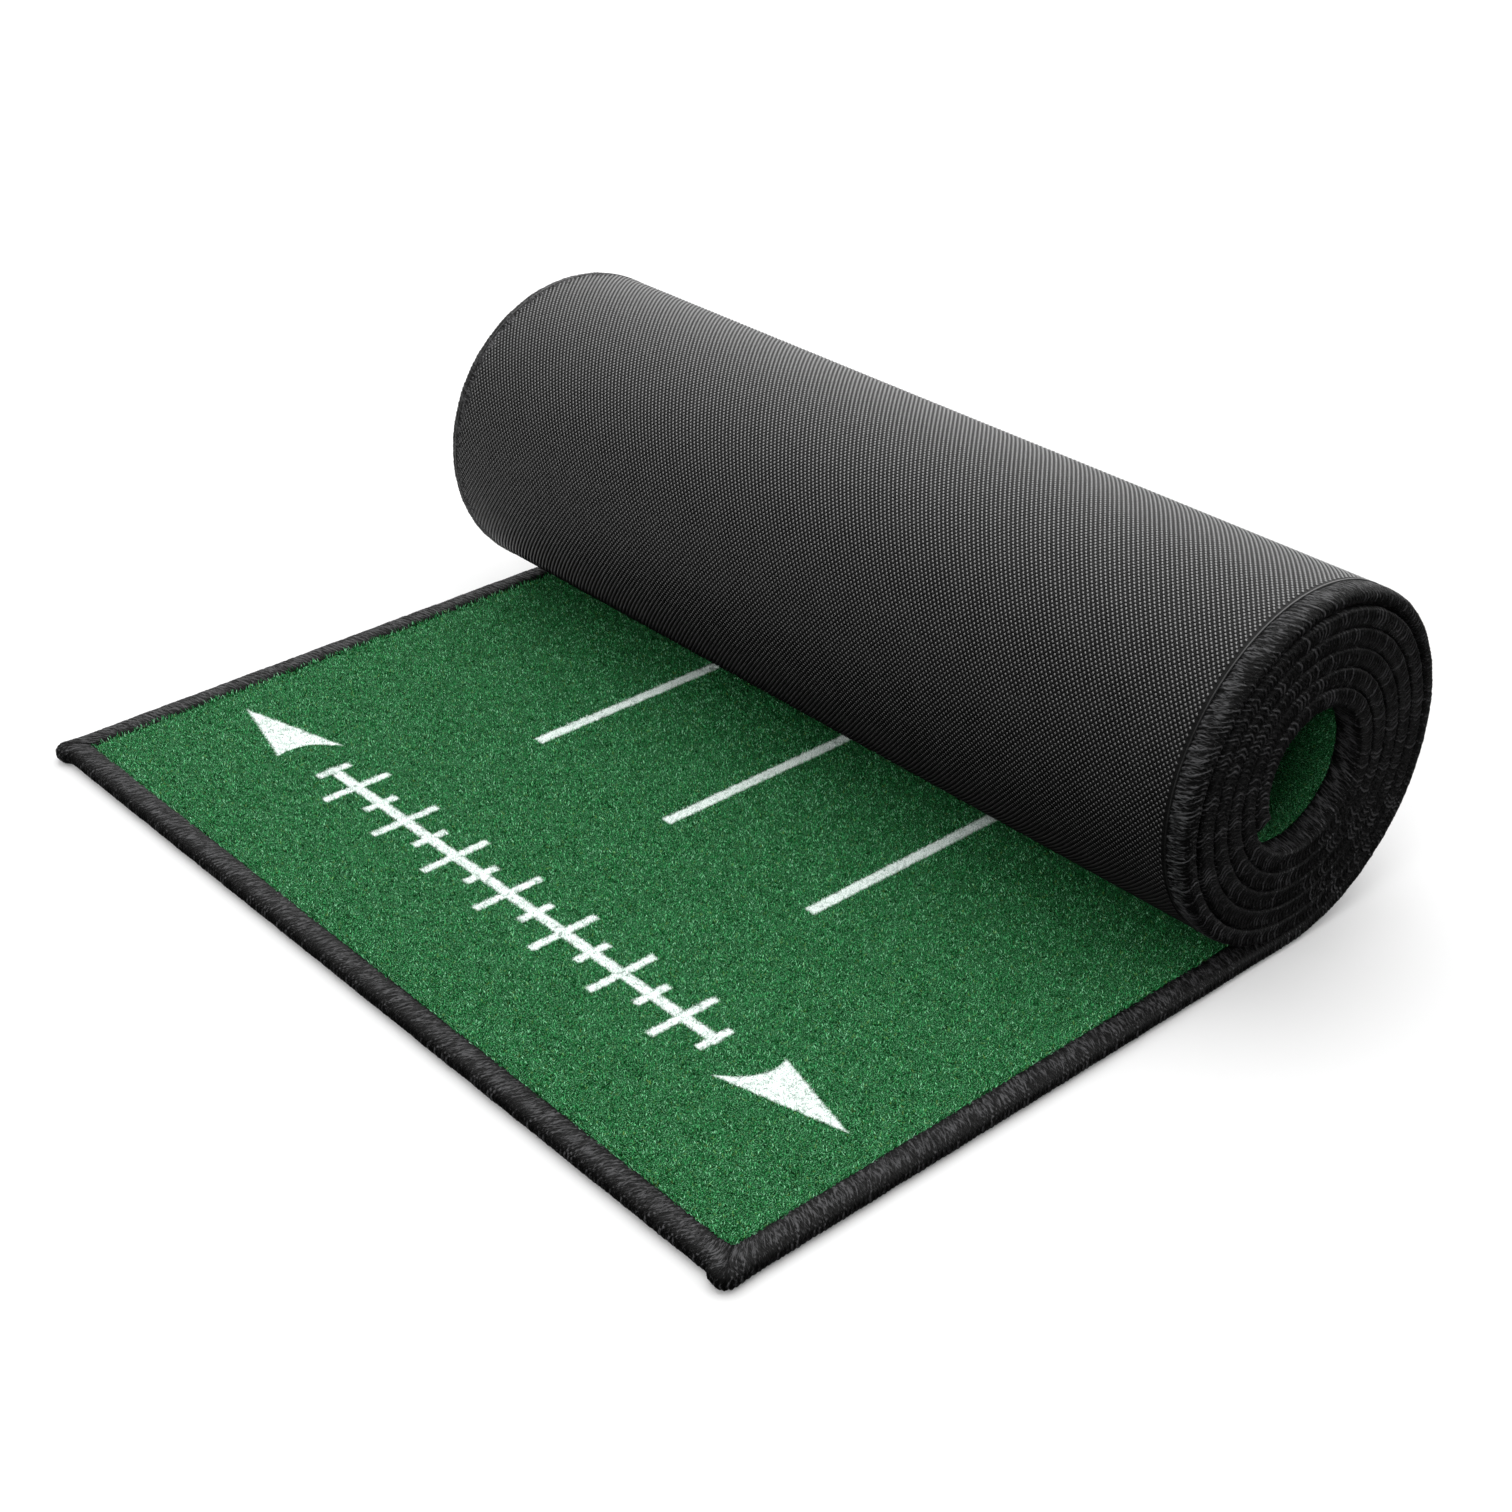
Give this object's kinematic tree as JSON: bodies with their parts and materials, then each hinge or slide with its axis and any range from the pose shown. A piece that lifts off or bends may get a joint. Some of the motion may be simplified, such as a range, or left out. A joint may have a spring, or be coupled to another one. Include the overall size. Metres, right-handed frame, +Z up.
{
  "type": "practice putting mat",
  "caption": "Artificial turf putting mat with a rubber underside and serged yarn edges, laid flat at the front and rolled up at the back, rolling out in hinged sections.",
  "frame": {"origin": "centre of the bounding box's base, on the floor, with the mat rolled up at the back as stored", "axes": "+X across the mat to the right, +Y from the flat front edge towards the roll, +Z up"},
  "size_m": [0.5, 0.405, 0.1689],
  "materials": {
    "turf": "short dense green pile with white printed guide marks, matt",
    "tufting_cloth": "plain woven dark cloth that the pile is tufted through",
    "backing": "charcoal rubber, satin, embossed with a fine raised grain",
    "binding": "black serged yarn, close wraps with a slight fuzz"
  },
  "bodies": {
    "flat_run": {"flat_turf": "turf", "flat_tufting_cloth": "tufting_cloth", "flat_backing": "backing", "flat_left_binding": "binding", "flat_right_binding": "binding", "front_binding": "binding"},
    "wrap_1": {"wrap_1_turf": "turf", "wrap_1_tufting_cloth": "tufting_cloth", "wrap_1_backing": "backing", "wrap_1_left_binding": "binding", "wrap_1_right_binding": "binding"},
    "wrap_2": {"wrap_2_turf": "turf", "wrap_2_tufting_cloth": "tufting_cloth", "wrap_2_backing": "backing", "wrap_2_left_binding": "binding", "wrap_2_right_binding": "binding"},
    "wrap_3": {"wrap_3_turf": "turf", "wrap_3_tufting_cloth": "tufting_cloth", "wrap_3_backing": "backing", "wrap_3_left_binding": "binding", "wrap_3_right_binding": "binding"},
    "wrap_4": {"wrap_4_turf": "turf", "wrap_4_tufting_cloth": "tufting_cloth", "wrap_4_backing": "backing", "wrap_4_left_binding": "binding", "wrap_4_right_binding": "binding"},
    "wrap_5": {"wrap_5_turf": "turf", "wrap_5_tufting_cloth": "tufting_cloth", "wrap_5_backing": "backing", "wrap_5_left_binding": "binding", "wrap_5_right_binding": "binding"},
    "wrap_6": {"wrap_6_turf": "turf", "wrap_6_tufting_cloth": "tufting_cloth", "wrap_6_backing": "backing", "wrap_6_left_binding": "binding", "wrap_6_right_binding": "binding"},
    "wrap_7": {"wrap_7_turf": "turf", "wrap_7_tufting_cloth": "tufting_cloth", "wrap_7_backing": "backing", "wrap_7_left_binding": "binding", "wrap_7_right_binding": "binding"},
    "roll": {"roll_turf": "turf", "roll_tufting_cloth": "tufting_cloth", "roll_backing": "backing", "roll_left_binding": "binding", "roll_right_binding": "binding", "tail_binding": "binding"}
  },
  "joints": [
    {"name": "unroll_1", "type": "hinge", "parent": "flat_run", "child": "wrap_1", "pos_m": [0, 0.13488, 0.00193], "axis": [-1, 0, 0], "range_deg": [0, 23.41]},
    {"name": "unroll_2", "type": "hinge", "parent": "wrap_1", "child": "wrap_2", "pos_m": [0, 0.1657, 0.01527], "axis": [-1, 0, 0], "range_deg": [0, 22.51]},
    {"name": "unroll_3", "type": "hinge", "parent": "wrap_2", "child": "wrap_3", "pos_m": [0, 0.18891, 0.03924], "axis": [-1, 0, 0], "range_deg": [0, 22.51]},
    {"name": "unroll_4", "type": "hinge", "parent": "wrap_3", "child": "wrap_4", "pos_m": [0, 0.20111, 0.07008], "axis": [-1, 0, 0], "range_deg": [0, 22.51]},
    {"name": "unroll_5", "type": "hinge", "parent": "wrap_4", "child": "wrap_5", "pos_m": [0, 0.20057, 0.10302], "axis": [-1, 0, 0], "range_deg": [0, 22.51]},
    {"name": "unroll_6", "type": "hinge", "parent": "wrap_5", "child": "wrap_6", "pos_m": [0, 0.18756, 0.13305], "axis": [-1, 0, 0], "range_deg": [0, 22.51]},
    {"name": "unroll_7", "type": "hinge", "parent": "wrap_6", "child": "wrap_7", "pos_m": [0, 0.16419, 0.15567], "axis": [-1, 0, 0], "range_deg": [0, 22.51]},
    {"name": "unroll_8", "type": "hinge", "parent": "wrap_7", "child": "roll", "pos_m": [0, 0.13414, 0.16754], "axis": [-1, 0, 0], "range_deg": [0, 22.51]}
  ]
}
